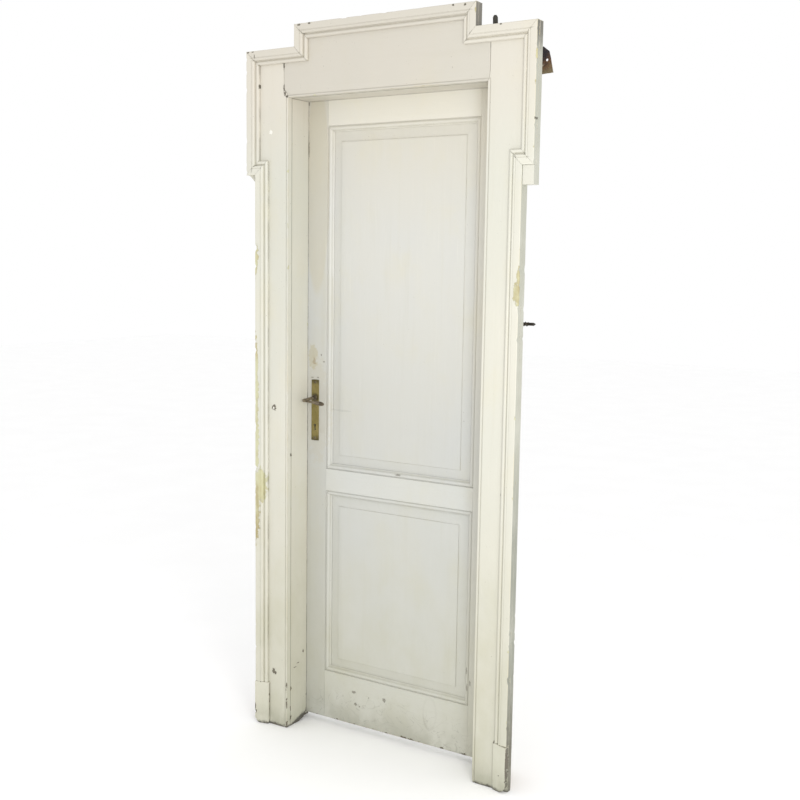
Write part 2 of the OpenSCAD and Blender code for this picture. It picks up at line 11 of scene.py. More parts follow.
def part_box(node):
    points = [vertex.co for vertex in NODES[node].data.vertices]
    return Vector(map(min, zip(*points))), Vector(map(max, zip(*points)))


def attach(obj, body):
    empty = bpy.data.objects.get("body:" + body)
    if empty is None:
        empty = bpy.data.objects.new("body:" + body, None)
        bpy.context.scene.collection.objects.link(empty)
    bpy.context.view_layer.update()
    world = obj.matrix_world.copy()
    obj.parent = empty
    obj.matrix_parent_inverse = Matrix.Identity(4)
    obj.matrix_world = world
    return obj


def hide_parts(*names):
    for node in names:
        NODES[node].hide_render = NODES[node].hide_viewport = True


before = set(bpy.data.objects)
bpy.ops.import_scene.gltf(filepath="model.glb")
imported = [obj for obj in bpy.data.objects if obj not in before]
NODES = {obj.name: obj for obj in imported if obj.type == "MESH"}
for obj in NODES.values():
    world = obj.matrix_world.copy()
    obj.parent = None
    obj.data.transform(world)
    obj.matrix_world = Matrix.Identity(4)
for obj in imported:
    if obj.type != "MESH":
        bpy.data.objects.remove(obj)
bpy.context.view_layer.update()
random.seed(29)

MM = 0.001


# -------------------- shader helpers

class Shader:
    """A material's node tree, with one short call for each kind of node."""

    def __init__(self, name):
        self.material = bpy.data.materials.new(name)
        self.material.use_nodes = True
        self.tree = self.material.node_tree
        self.principled = self.tree.nodes["Principled BSDF"]
        places = self._new("TexCoord")
        self.coords = places.outputs["Object"]
        self.normals = places.outputs["Normal"]

    def _put(self, socket, value):
        if isinstance(value, bpy.types.NodeSocket):
            self.tree.links.new(value, socket)
        else:
            socket.default_value = value

    def _new(self, kind, *inputs, **settings):
        """A node with its settings made and its first inputs linked or set."""
        node = self.tree.nodes.new("ShaderNode" + kind)
        for setting, value in settings.items():
            setattr(node, setting, value)
        for socket, value in zip(node.inputs, inputs):
            self._put(socket, value)
        return node

    def math(self, kind, a, b=0.0, clamp=False):
        return self._new("Math", a, b, operation=kind, use_clamp=clamp).outputs[0]

    def times(self, a, b):
        return self.math("MULTIPLY", a, b)

    def plus(self, a, b, clamp=False):
        return self.math("ADD", a, b, clamp)

    def minus(self, a, b):
        return self.math("SUBTRACT", a, b)

    def most(self, *values):
        whole = values[0]
        for value in values[1:]:
            whole = self.math("MAXIMUM", whole, value)
        return whole

    def vector(self, kind, a, b=(0, 0, 0), out="Vector"):
        return self._new("VectorMath", a, b, operation=kind).outputs[out]

    def scaled(self, size):
        """Object coordinates multiplied by size, which stretches a pattern."""
        return self.vector("MULTIPLY", self.coords, size)

    def noise(self, size, detail=4.0, rough=0.55, warp=0.0):
        """Noise from 0 to 1, at size lumps to the metre along each axis."""
        node = self._new("TexNoise", self.scaled(size))
        for name, value in (("Scale", 1.0), ("Detail", detail), ("Roughness", rough), ("Distortion", warp)):
            node.inputs[name].default_value = value
        return node.outputs["Fac"]

    def ramp(self, value, low, high, start=0.0, end=1.0):
        """Smooth step from start to end as value goes from low to high."""
        return self._new("MapRange", value, low, high, start, end,
                         interpolation_type="SMOOTHSTEP").outputs[0]

    def mix(self, share, a, b):
        node = self._new("Mix", data_type="RGBA")
        self._put(node.inputs["Factor"], share)
        for letter, colour in (("A", a), ("B", b)):
            linked = isinstance(colour, bpy.types.NodeSocket)
            self._put(node.inputs[letter], colour if linked else (*colour, 1.0))
        return node.outputs["Result"]

    def coats(self, colour, *coats):
        """The colour under a series of others, each given as its share and its sRGB code."""
        for share, code in coats:
            colour = self.mix(share, colour, hue(code))
        return colour

    def part(self, vector, letter):
        return self._new("SeparateXYZ", vector).outputs[letter]

    def axis(self, letter):
        return self.part(self.coords, letter)

    def facing(self, letter):
        """How far the surface faces along an axis of the object, from -1 to 1."""
        return self.part(self.normals, letter)

    def distance(self, plane, centre):
        """Distance from centre in the object coordinates scaled by plane."""
        return self.vector("DISTANCE", self.scaled(plane), centre, out="Value")

    def blob(self, centre, size, ragged):
        """About 1 inside a soft ellipsoid round centre, with a ragged border from the given noise."""
        inside = self.vector("DIVIDE", self.vector("SUBTRACT", self.coords, centre), size)
        return self.ramp(self.plus(self.vector("LENGTH", inside, out="Value"), ragged), 1.0, 0.86)

    def blobs(self, table, ragged):
        return self.most(*[self.blob(row[:3], row[3:], ragged) for row in table])

    def attribute(self, name, out="Fac"):
        return self._new("Attribute", attribute_name=name).outputs[out]

    def bump(self, height, distance, strength=1.0, under=None):
        node = self._new("Bump")
        for name, value in (("Strength", strength), ("Distance", distance), ("Height", height)):
            self._put(node.inputs[name], value)
        if under is not None:
            self._put(node.inputs["Normal"], under)
        return node.outputs[0]

    def finish(self, colour, rough, normal, metal=0.0):
        made = {"Base Color": colour, "Roughness": rough, "Normal": normal, "Metallic": metal}
        for name, value in made.items():
            self._put(self.principled.inputs[name], value)
        return self.material


def hue(code):
    """A six-digit sRGB colour as the linear numbers that a shader takes."""
    shares = [int(code[i:i + 2], 16) / 255 for i in (0, 2, 4)]
    return tuple(c / 12.92 if c <= 0.04045 else ((c + 0.055) / 1.055) ** 2.4 for c in shares)


# -------------------- driving dimensions, from the frame

def low(node):
    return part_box(node)[0]


def high(node):
    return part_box(node)[1]


BOARD_Y = low("casing_left").y
MOULD_Y = low("mould_top").y
LOW_IN = low("mould_right_lower").x
LOW_OUT = high("mould_right_lower").x
EAR_IN = low("mould_right_ear").x
EAR_OUT = high("mould_right_ear").x
EAR_Z = high("mould_right_lower").z
PLINTH_Z = high("plinth_right").z
PLINTH_IN = low("plinth_right").x
LINING_IN = low("lining_right").x
HEAD_LEFT, HEAD_RIGHT = low("casing_head").x, high("casing_head").x
HEAD_TOP = low("mould_right_shoulder").z
LEAF_Y = low("stile_lock").y
LEAF_BACK = high("stile_lock").y
PIVOT = (low("spindle") + high("spindle")) / 2
PLATE_LOW = low("plate_front")
PLATE_HIGH = high("plate_front")
KEYHOLE_DROP = 0.099  # of the keyhole's middle below the lever's axis


# -------------------- places of the wear, as centre and half size

BARE = [  # where the frame's paint has gone
    (-LOW_OUT, MOULD_Y, 1.573, 0.014, 0.04, 0.058),
    (-LOW_OUT, MOULD_Y, 1.24, 0.013, 0.04, 0.08),
    (-LOW_OUT, MOULD_Y, 1.13, 0.015, 0.04, 0.11),
    (-LOW_OUT, MOULD_Y, 0.97, 0.016, 0.04, 0.15),
    (-LOW_OUT, MOULD_Y, 0.73, 0.019, 0.04, 0.11),
    (-0.464, MOULD_Y, 0.838, 0.031, 0.04, 0.046),
    (-0.46, MOULD_Y, 0.812, 0.029, 0.04, 0.04),
    (LOW_OUT, MOULD_Y, 1.485, 0.017, 0.007, 0.04),
    (LOW_OUT, MOULD_Y, 1.53, 0.008, 0.006, 0.03),
    (EAR_OUT, MOULD_Y, 2.14, 0.003, 0.01, 0.016),
]
PITS = [  # nail holes and knocks in the frame
    (-0.412, BOARD_Y, 1.091, 0.008, 0.01, 0.0105),
    (-0.412, BOARD_Y, 0.1905, 0.006, 0.01, 0.01),
    (-0.407, BOARD_Y, 0.185, 0.007, 0.01, 0.006),
    (0.402, MOULD_Y, 2.229, 0.0035, 0.02, 0.0035),
    (0.2476, MOULD_Y, 2.296, 0.0035, 0.02, 0.003),
    (0.2866, MOULD_Y, 2.2933, 0.0038, 0.02, 0.0032),
    (-0.262, MOULD_Y, 2.296, 0.005, 0.02, 0.0028),
    (-0.3026, MOULD_Y, 2.2947, 0.007, 0.02, 0.0028),
    (-0.506, MOULD_Y, 2.228, 0.004, 0.02, 0.002),
    (-0.486, MOULD_Y, 2.228, 0.005, 0.02, 0.0014),
    (-0.48, MOULD_Y, 2.214, 0.0018, 0.02, 0.006),
    (EAR_OUT, MOULD_Y, 1.968, 0.0022, 0.02, 0.0036),
    (HEAD_LEFT, BOARD_Y, 2.18, 0.0026, 0.01, 0.012),
    (HEAD_LEFT, BOARD_Y, 2.108, 0.0028, 0.01, 0.016),
    (HEAD_LEFT + 0.004, BOARD_Y, 2.094, 0.0036, 0.01, 0.007),
    (HEAD_LEFT + 0.011, BOARD_Y, 2.0845, 0.005, 0.01, 0.004),
    (-EAR_IN, BOARD_Y, 2.121, 0.002, 0.02, 0.007),
    (-LINING_IN, -0.0008, 0.934, 0.01, 0.0045, 0.006),
    (LOW_OUT, MOULD_Y, 0.09, 0.0022, 0.02, 0.05),
    (0.453, BOARD_Y, 0.052, 0.0024, 0.02, 0.0024),
    (0.9 * LOW_OUT, BOARD_Y, PLINTH_Z, 0.0045, 0.02, 0.003),
    (-0.456, BOARD_Y, PLINTH_Z, 0.004, 0.02, 0.0026),
    (0.9 * LOW_OUT, BOARD_Y, 0.9, 0.0022, 0.02, 0.003),
    (-LINING_IN, 0.07, 0.245, 0.01, 0.0035, 0.006),
    (-LINING_IN, 0.024, 0.201, 0.01, 0.008, 0.0016),
    (-LINING_IN, 0.042, 0.212, 0.01, 0.007, 0.0016),
    (-LINING_IN, BOARD_Y, 0.15, 0.004, 0.003, 0.01),
    (-LINING_IN, BOARD_Y, 0.08, 0.004, 0.003, 0.014),
]
FILLED = [  # stopping that shows lighter than the frame's paint round it
    (-0.4135, BOARD_Y, 1.088, 0.003, 0.01, 0.0042),
    (-0.4255, BOARD_Y, 1.977, 0.006, 0.01, 0.0085),
]
KNOCKS = [(x, LEAF_Y, z, wide, 0.02, tall) for x, z, wide, tall in (  # scuffs and dirt on the leaf
    (-0.1565, 0.136, 0.0075, 0.0048), (-0.15, 0.096, 0.0064, 0.0052),
    (-0.1344, 0.091, 0.0032, 0.0028), (-0.038, 0.135, 0.0058, 0.0062),
    (-0.0978, 0.13, 0.0024, 0.0024), (0.005, 0.894, 0.01, 0.003),
    (-0.3007, 1.262, 0.0026, 0.0034), (-0.2896, 1.24, 0.0024, 0.0026),
    (-0.3373, 1.186, 0.0055, 0.0014), (-0.3141, 1.187, 0.0045, 0.0014),
    (0.2724, 0.247, 0.0018, 0.01), (0.269, 0.3, 0.0026, 0.012),
    (0.283, 0.262, 0.0022, 0.009), (-0.356, 2.074, 0.006, 0.005),
    (-0.3558, 1.93, 0.003, 0.024),
)]
STAINS_AND_LEVER_SHADOW = [  # broad marks on the leaf, each with how strong it is and its colour
    ((-0.315, LEAF_Y, 1.08), (0.055, 0.05, 0.18), 0.18, "BFB59A"),
    ((-0.335, LEAF_Y, 1.258), (0.019, 0.03, 0.044), 0.32, "B3A56E"),
    ((-0.3285, LEAF_Y, 1.24), (0.008, 0.03, 0.012), 0.35, "8A6B42"),
    # the grey streak below and beyond the lever's grip is a painted shadow of the lever
    ((-0.223, LEAF_Y, 1.083), (0.045, 0.03, 0.004), 0.18, "8E938A"),
]
AGED = ((-0.32, LEAF_Y, 1.8), (0.05, 0.05, 0.36))
UNLIT = "1C1915"
RING_MIDDLE, RING_RADIUS, RING_SQUASH, RING_TOP = (0.1385, 0.0, 0.0585), 0.024, 0.45, 0.176


# -------------------- painted timber

def between(s, value, start, end, soft=0.004):
    return s.times(s.ramp(value, start, start + soft), s.ramp(value, end, end - soft))


def seam(s, across, at, width, breaks):
    """A dark hairline where across equals at, broken up by a noise."""
    off = s.math("ABSOLUTE", s.minus(across, at))
    return s.times(s.ramp(off, width, 0.3 * width), breaks)


def squarely(s, facing):
    """1 on the faces that look squarely the way of facing."""
    return s.ramp(facing, 0.75, 0.95)


def outwards(s):
    return squarely(s, s.times(s.facing("X"), s.math("SIGN", s.axis("X"))))


def edge_distance(s):
    """Distance to the nearest edge of the board's own box, from the corners stored on its vertices."""
    over = s.vector("SUBTRACT", s.coords, s.attribute("low", "Vector"))
    under = s.vector("SUBTRACT", s.attribute("high", "Vector"), s.coords)
    nearest = s.vector("MINIMUM", over, under)
    x, y, z = (s.part(nearest, letter) for letter in "XYZ")
    return s.most(s.math("MINIMUM", x, y), s.math("MINIMUM", s.most(x, y), z))


def raw_wood(s):
    """The frame's faces that lie on the wall, which were never painted, and the colour of their bare pine."""
    inner = low("rebate_left").y - 0.001
    depth = s.axis("Y")
    wall_face = s.times(squarely(s, s.facing("Y")), s.ramp(depth, 0.004, 0.002))
    packed = s.most(outwards(s), squarely(s, s.facing("Z")))
    inside_wall = s.times(s.ramp(depth, 0.001, 0.003), s.ramp(depth, inner + 0.001, inner))
    pine = s.mix(s.ramp(s.grain, 0.35, 0.65), hue("B99C72"), hue("8F744F"))
    pine = s.coats(pine, (s.ramp(s.mottle, 0.42, 0.62, 0.0, 0.55), "A79C86"))
    return s.most(wall_face, s.times(packed, inside_wall)), pine


def frame_seams(s, breaks):
    """Hairline joints of the frame: its butted boards, its mouldings and the gap behind the casing."""
    x, z = s.axis("X"), s.axis("Z")
    side = s.math("ABSOLUTE", x)
    front = s.ramp(s.axis("Y"), BOARD_Y + 0.006, BOARD_Y + 0.003)
    lines = [  # the hairline, where it runs, and how strong it is
        (seam(s, side, EAR_IN, 0.0012, breaks), between(s, z, EAR_Z, HEAD_TOP), 0.35),
        (seam(s, side, LOW_IN, 0.0009, breaks), between(s, z, PLINTH_Z, EAR_Z), 0.3),
        (seam(s, x, HEAD_LEFT - 0.0003, 0.0026, breaks), between(s, z, 2.104, HEAD_TOP), 1.0),
        (seam(s, x, HEAD_RIGHT + 0.0003, 0.0013, 1.0), between(s, z, HEAD_TOP - 0.018, HEAD_TOP), 1.0),
        (seam(s, z, PLINTH_Z, 0.0010, breaks), s.ramp(side, PLINTH_IN, PLINTH_IN + 0.002), 1.0),
        (seam(s, side, PLINTH_IN, 0.0007, 1.0), s.ramp(z, PLINTH_Z, PLINTH_Z - 0.004), 0.5),
    ]
    drawn = s.times(s.most(*[s.times(s.times(line, where), share) for line, where, share in lines]), front)
    behind = seam(s, s.axis("Y"), low("lining_left").y, 0.0024, 0.6)
    return s.most(drawn, s.times(behind, s.ramp(side, LINING_IN + 0.004, LINING_IN + 0.002)))


def leaf_gap_shade(s, breaks):
    """Painted shade in the gap between the leaf's face and the lining that it closes against."""
    side = s.math("ABSOLUTE", s.axis("X"))
    head = low("lining_head").z
    front = s.ramp(s.axis("Y"), LEAF_Y + 0.004, LEAF_Y + 0.002)
    rim = s.times(s.ramp(side, LINING_IN - 0.0020, LINING_IN - 0.0008, 0.0, 0.7), breaks)
    top = s.ramp(s.axis("Z"), head - 0.0020, head - 0.0012, 0.0, 0.35)
    return s.times(s.most(rim, top), front)


def keyway(s):
    """About 1 inside the leaf behind the keyholes, where the light doesn't reach."""
    centre = (PIVOT.x, (LEAF_Y + LEAF_BACK) / 2, PIVOT.z - KEYHOLE_DROP)
    return s.blob(centre, (0.012, (LEAF_BACK - LEAF_Y) / 2 - 0.001, 0.030), 0.0)


def fresh_coat(s, warm, cool):
    """The paint before its wear: warm and cool clouds, yellowed, with the grain and the brush showing."""
    clouds = s.noise((1.7, 1.7, 1.2), detail=3)
    return s.coats(s.mix(s.ramp(clouds, 0.36, 0.64), warm, cool),
                   (s.ramp(s.mottle, 0.45, 0.85, 0.0, 0.35), "D7D1B4"),
                   (s.ramp(s.grain, 0.5, 0.85, 0.0, 0.22), "C2BEA8"),
                   (s.ramp(s.strokes, 0.55, 0.85, 0.0, 0.16), "F2EFE6"))


def tinted_and_shaded(s, colour, leaf):
    """Warmer towards the top, and on the leaf warmer by the hinges and greyer towards its foot, both painted
    shade.
    """
    if not leaf:
        return s.coats(colour, (s.ramp(s.height, 1.80, 2.15, 0.0, 0.42), "DBD1C4"))
    return s.coats(colour,
                   (s.ramp(s.height, 1.60, 2.00, 0.0, 0.45), "D9D2BF"),
                   # warmer by the hinges: painted shade beside the jamb
                   (s.ramp(s.axis("X"), 0.24, 0.29, 0.0, 0.35), "D4CBB4"),
                   # greyer towards the foot: painted shade
                   (s.ramp(s.height, 1.65, 1.00, 0.0, 0.36), "B3B5B1"))


def dirtied(s, colour, lower_darkening, leaf):
    """Darker towards the floor with dirt along it, splashes, dirt and painted shade in the inner corners, and
    dirt in specks.
    """
    foot_dirt = s.times(s.ramp(s.height, 0.09, 0.002), s.ramp(s.mottle, 0.35, 0.62, 0.08, 0.5))
    depth = s.axis("Y")
    deeper = s.times(s.ramp(depth, 0.0, 0.085, 0.0, 0.022), s.ramp(depth, 0.0925, 0.0890))
    splash = s.minus(s.plus(s.height, s.times(s.ragged, 0.012)), 0.017 if leaf else deeper)
    # inner corners darkened: dirt and painted shade
    groove = s.times(s.attribute("groove"), s.ramp(s.mottle, 0.3, 0.65, 0.02, 0.45 if leaf else 0.15))
    specks = s.noise((190, 190, 190), detail=2)
    return s.coats(colour,
                   (lower_darkening, "B6B59F"), (foot_dirt, "8A8A76"),
                   (s.ramp(splash, 0.012, 0.001, 0.0, 0.5 if leaf else 0.9), "3B372E"),
                   (groove, "9F9B84"), (s.ramp(specks, 0.735, 0.78, 0.0, 0.65), "6F6855"))


def outer_sides(s, colour):
    """The frame's outer sides and top, which are grey, sooty and dusty."""
    outward = outwards(s)
    outer = s.ramp(s.math("ABSOLUTE", s.axis("X")), LOW_IN, LOW_IN + 0.01)
    unseen = s.times(s.times(outer, outward), s.ramp(s.mottle, 0.3, 0.6, 0.6, 0.95))
    near_floor = s.plus(s.height, s.times(s.ragged, 0.10))
    grime = s.mix(s.ramp(s.height, 1.10, 0.75), hue("B3B4A6"), hue("94968A"))
    grime = s.coats(grime, (s.ramp(near_floor, 0.42, 0.10), "625F50"))
    near_top = s.plus(s.height, s.times(s.ragged, 0.03))
    sooty = s.times(outward, s.ramp(near_top, 2.13, 2.21, 0.0, 0.85))
    dusty = s.times(squarely(s, s.facing("Z")), s.ramp(s.mottle, 0.3, 0.6, 0.4, 0.8))
    return s.coats(s.mix(unseen, colour, grime), (sooty, "5E5A50"), (dusty, "A9A493"))


def leaf_marks(s, colour):
    """The leaf's stains round the lever, a painted shadow of the lever beside its grip, its scuffs near the
    floor and the ring on its bottom rail.
    """
    swirl = s.math("ABSOLUTE", s.minus(s.noise((11, 11, 16), detail=2, warp=1.6), 0.5))
    scuffs = s.times(s.ramp(swirl, 0.012, 0.003), s.ramp(s.height, 0.17, 0.09, 0.0, 0.40))
    scuffed = s.times(s.ramp(s.height, 0.16, 0.05, 0.0, 0.35), s.ramp(s.mottle, 0.35, 0.65))
    round_ring = s.distance((1.0, 0.0, RING_SQUASH), RING_MIDDLE)
    ring = s.times(seam(s, round_ring, RING_RADIUS, 0.004, 1.0), s.ramp(s.mottle, 0.4, 0.6, 0.1, 0.5))
    ring = s.times(ring, s.ramp(s.height, RING_TOP + 0.010, RING_TOP))
    stains = [(s.times(s.blob(at, size, s.ragged), share), code) for at, size, share, code in STAINS_AND_LEVER_SHADOW]
    return s.coats(colour, *stains, (scuffs, "8E8C80"), (scuffed, "9B9A90"),
                   (s.times(s.blob(*AGED, 0.0), 0.30), "C9BF9E"), (ring, "9C998C"))


def paint(name, along, warm, cool, leaf):
    """Old oil paint on softwood: brushed along the wood, yellowed, dirty and darker near the floor, chipped
    at edges, and lighter or darker by board as painted light and shade.
    """
    s = Shader(name)
    upright = along == "z"
    s.height = s.axis("Z")
    s.mottle = s.noise((9, 9, 6), detail=6, rough=0.62)
    s.strokes = s.noise((260, 260, 9) if upright else (9, 260, 260), detail=3)
    s.grain = s.noise((42, 42, 1.6) if upright else (1.6, 42, 42), detail=5, warp=0.3)
    s.ragged = s.times(s.minus(s.noise((75, 75, 75), detail=5, rough=0.65), 0.5), 1.9)
    nibbled = s.times(s.minus(s.noise((230, 230, 230), detail=3), 0.5), 2.4)

    # darker and rougher towards the floor, from 1.15 m down
    lower_darkening = s.times(s.ramp(s.height, 1.15, 0.0, 0.0, 0.60 if leaf else 0.72),
                       s.ramp(s.mottle, 0.25, 0.75, 0.55, 1.0))
    colour = dirtied(s, tinted_and_shaded(s, fresh_coat(s, warm, cool), leaf), lower_darkening, leaf)
    if not leaf:
        colour = outer_sides(s, colour)

    edge = edge_distance(s)
    rubbed = s.times(s.ramp(edge, 0.0030, 0.0008), s.ramp(s.mottle, 0.42, 0.66, 0.0, 0.55))
    colour = s.coats(colour, (rubbed, "CFC6A8"))
    lumps = s.plus(s.noise((34, 34, 26), detail=4, rough=0.6), s.ramp(s.height, 0.20, 0.03, 0.0, 0.09))
    bitten = s.minus(edge, s.ramp(lumps, 0.60, 0.74, -0.001, 0.0065))
    chips = s.ramp(bitten, 0.0004, -0.0004)
    rims = s.ramp(bitten, 0.0016, 0.0)
    if leaf:
        colour = leaf_marks(s, colour)
        gap = leaf_gap_shade(s, s.ramp(s.noise((3, 3, 13), detail=5, rough=0.7), 0.44, 0.62, 0.35, 1.0))
    else:
        chips = s.most(chips, s.blobs(BARE, s.ragged))
        gap = frame_seams(s, s.ramp(s.noise((3, 3, 11), detail=4), 0.42, 0.60))
    worn = s.blobs(KNOCKS if leaf else PITS, nibbled)

    # each board's paint is scaled by its tone: painted light and shade
    shaded = s._new("VectorMath", colour, operation="SCALE")
    s._put(shaded.inputs["Scale"], s.attribute("painted_light"))
    bare_wood = s.mix(s.ramp(s.grain, 0.35, 0.65), hue("C4BC92"), hue("A3966E"))
    primer = s.mix(s.ramp(s.mottle, 0.42, 0.60), hue("CAC9A6"), bare_wood)
    primer = s.coats(primer, (s.ramp(s.height, 0.24, 0.10), "5F584A"))
    colour = s.coats(shaded.outputs[0], (s.times(rims, 0.30), "8B8269"))
    # gap darkens: on the leaf it is painted shade in the gap by the lining, on the frame dark joints
    colour = s.coats(s.mix(chips, colour, primer),
                     (s.times(worn, 0.60 if leaf else 0.90), "5A5343"), (s.times(gap, 0.80), "4E4A3A"))
    if leaf:
        colour = s.coats(colour, (keyway(s), UNLIT))
    else:
        colour = s.coats(colour, (s.blobs(FILLED, nibbled), "EBE9E0"))
        hidden, pine = raw_wood(s)
        colour = s.mix(hidden, colour, pine)

    rough = s.plus(s.ramp(s.mottle, 0.3, 0.7, 0.34, 0.52), s.times(chips, 0.30))
    rough = s.plus(rough, s.times(lower_darkening, 0.20), clamp=True)
    normal = s.bump(s.grain, 0.0010, 0.5)
    normal = s.bump(s.strokes, 0.00035, 0.6, normal)
    normal = s.bump(s.mottle, 0.0022, 0.35, normal)
    return s.finish(colour, rough, s.bump(s.most(chips, worn), -0.0009, 1.0, normal))


TINTS = {"frame": ("DAD7CA", "D4D3C7"), "leaf": ("D4D3CB", "D0D1CE")}
PAINTS = {(body, along): paint(f"{body}_paint_{run}", along, hue(warm), hue(cool), leaf=body == "leaf")
          for body, (warm, cool) in TINTS.items() for along, run in (("z", "upright"), ("x", "level"))}


# -------------------- metals

def metal(name, dark, light, spot, metallic, rough, pitting, keyed=False):
    """Old metal: two tones in clouds, a third in spots, brighter where edges rub, with pits in the bump."""
    s = Shader(name)
    dark, light = hue(dark), hue(light)
    cloud = s.noise((60, 60, 60), detail=6, rough=0.62)
    fine = s.noise((420, 420, 420), detail=4)
    spots = s.noise((130, 130, 130), detail=5, rough=0.7)
    scratch = s.noise((900, 900, 40), detail=2)
    colour = s.mix(s.ramp(cloud, 0.35, 0.65), dark, light)
    colour = s.coats(colour, (s.ramp(spots, 0.55, 0.68, 0.0, 0.8), spot))
    rubbed = s.times(s.ramp(edge_distance(s), 0.0016, 0.0003), s.ramp(fine, 0.4, 0.6, 0.2, 0.8))
    colour = s.mix(rubbed, colour, tuple(min(1.0, 1.6 * c + 0.03) for c in light))
    # inner corners darkened: dirt and painted shade
    colour = s.mix(s.attribute("groove"), colour, tuple(0.45 * c for c in dark))
    if keyed:
        colour = s.coats(colour, (keyway(s), UNLIT))
    shine = s.plus(s.ramp(cloud, 0.3, 0.7, rough - 0.1, rough + 0.1), s.ramp(spots, 0.55, 0.68, 0.0, 0.2),
                   clamp=True)
    normal = s.bump(cloud, pitting, 0.6)
    normal = s.bump(fine, pitting * 0.4, 0.6, normal)
    return s.finish(colour, shine, s.bump(scratch, 0.00006, 0.5, normal), metallic)


def plate_brass():
    """Tarnished brass of the long plates: olive brown, darker towards both ends, with painted shade round the
    rose.
    """
    s = Shader("plate_brass")
    cloud = s.noise((45, 45, 30), detail=6, rough=0.6)
    fine = s.noise((500, 500, 160), detail=3)
    spots = s.noise((150, 150, 150), detail=5, rough=0.7)
    middle, half = (PLATE_HIGH.z + PLATE_LOW.z) / 2, (PLATE_HIGH.z - PLATE_LOW.z) / 2
    from_middle = s.math("ABSOLUTE", s.minus(s.axis("Z"), middle))
    from_hub = s.distance((1.0, 0.0, 1.0), (PIVOT.x, 0.0, PIVOT.z))
    rubbed = s.times(s.ramp(edge_distance(s), 0.0016, 0.0004), s.ramp(fine, 0.4, 0.6, 0.2, 0.7))
    colour = s.coats(s.mix(s.ramp(cloud, 0.35, 0.65), hue("8A7E4C"), hue("9A8D5C")),
                     (s.ramp(spots, 0.54, 0.70, 0.0, 0.6), "6B5F3A"),
                     (s.ramp(from_middle, half - 0.022, half - 0.002, 0.0, 0.75), "4C4636"),
                     # darker round the rose: painted shade at its foot
                     (s.ramp(from_hub, 0.020, 0.011, 0.0, 0.65), "514A37"),
                     (rubbed, "BDB07C"))
    normal = s.bump(fine, 0.0001, 0.6, s.bump(cloud, 0.0004, 0.5))
    return s.finish(colour, s.ramp(cloud, 0.3, 0.7, 0.36, 0.56), normal, 0.75)


def rust(name):
    """Rusted wrought iron: blue-black mill scale above, brown rust, olive lime and dirt below, deep pits."""
    s = Shader(name)
    cloud = s.noise((38, 38, 38), detail=7, rough=0.7)
    flakes = s.noise((120, 120, 120), detail=6, rough=0.7)
    fine = s.noise((520, 520, 520), detail=3)
    lift = s.plus(s.axis("Z"), s.times(s.minus(cloud, 0.5), 0.10))
    bottom, top = low("anchor_right").z, high("anchor_right").z
    colour = s.coats(s.mix(s.ramp(flakes, 0.38, 0.62), hue("5A4432"), hue("7B5B3E")),
                     (s.ramp(lift, top - 0.055, top - 0.015), "2F2F36"),
                     (s.ramp(lift, bottom + 0.105, bottom + 0.070), "7D755C"),
                     (s.ramp(fine, 0.6, 0.72, 0.0, 0.6), "A0703F"),
                     (s.ramp(cloud, 0.62, 0.72, 0.0, 0.7), "CFC8B4"))
    normal = s.bump(flakes, 0.0012, 0.8, s.bump(cloud, 0.0025, 0.7))
    normal = s.bump(fine, 0.0003, 0.7, normal)
    return s.finish(colour, s.ramp(flakes, 0.3, 0.7, 0.62, 0.88), normal, 0.25)


METALS = {  # dark, light and spot colours, metallic, roughness and depth of the pits
    "brass": plate_brass(),
    "bronze": metal("lever_bronze", "5A5144", "8A7E69", "37322B", 0.7, 0.40, 0.0003),
    "steel": metal("lock_steel", "5E5B55", "87837A", "6B4A33", 0.85, 0.42, 0.0003, keyed=True),
    "hinge": metal("hinge_steel", "46433D", "6F6A60", "DAD5C4", 0.55, 0.50, 0.0004),
    "pin": metal("hinge_pin_steel", "7C7A75", "A29F98", "5A4A3A", 0.95, 0.30, 0.0001),
    "black": metal("wall_screw_iron", "2F2E2A", "4A4740", "6A4A30", 0.5, 0.60, 0.0006),
    "rust": rust("rusty_iron"),
}


# -------------------- mesh helpers

AXES = {"x": Vector((1, 0, 0)), "y": Vector((0, 1, 0)), "z": Vector((0, 0, 1))}


def welded(node):
    """The node's mesh with its split corners joined and its flat faces whole."""
    bm = bmesh.new()
    bm.from_mesh(NODES[node].data)
    bmesh.ops.remove_doubles(bm, verts=bm.verts, dist=2e-6)
    bmesh.ops.dissolve_limit(bm, angle_limit=math.radians(0.4), verts=bm.verts, edges=bm.edges)
    return bm


def soften(bm, width, shortest=0.012, sharpest=38, narrow=0.0, along=None):
    """Rounds the long outer arrises, but not those of narrow strips, nor those across the run along."""
    arrises = []
    for e in bm.edges:
        if len(e.link_faces) != 2 or e.calc_length() < shortest:
            continue
        if e.calc_face_angle_signed(0) < math.radians(sharpest):
            continue
        if min(f.calc_area() for f in e.link_faces) < narrow * e.calc_length():
            continue
        if along and abs((e.verts[1].co - e.verts[0].co).normalized().dot(AXES[along])) < 0.9:
            continue
        arrises.append(e)
    if arrises:
        bmesh.ops.bevel(bm, geom=arrises, offset=width, offset_type="OFFSET", segments=2,
                        profile=0.6, affect="EDGES", clamp_overlap=True)


def slice_across(bm, axis, places):
    for place in places:
        bmesh.ops.bisect_plane(bm, geom=bm.verts[:] + bm.edges[:] + bm.faces[:], dist=1e-6,
                               plane_co=AXES[axis] * place, plane_no=AXES[axis])


def steps(start, end, size, uneven=0.25):
    """Places between start and end, about size apart."""
    count = max(1, int((end - start) / size))
    return [start + (end - start) * (i + uneven * random.uniform(-1, 1)) / count for i in range(1, count)]


def dice(bm, node, cell, uneven):
    """Slices all three ways into cells of about the size given."""
    for i, axis in enumerate("xyz"):
        slice_across(bm, axis, steps(low(node)[i], high(node)[i], cell, uneven))


def mark_grooves(bm):
    """Stores 1 on the vertices of inner corners and 0 elsewhere, for the dirt and painted shade put there."""
    layer = bm.verts.layers.float.new("groove")
    for e in bm.edges:
        if len(e.link_faces) == 2 and e.calc_face_angle_signed(0) < math.radians(-14):
            for v in e.verts:
                v[layer] = 1.0


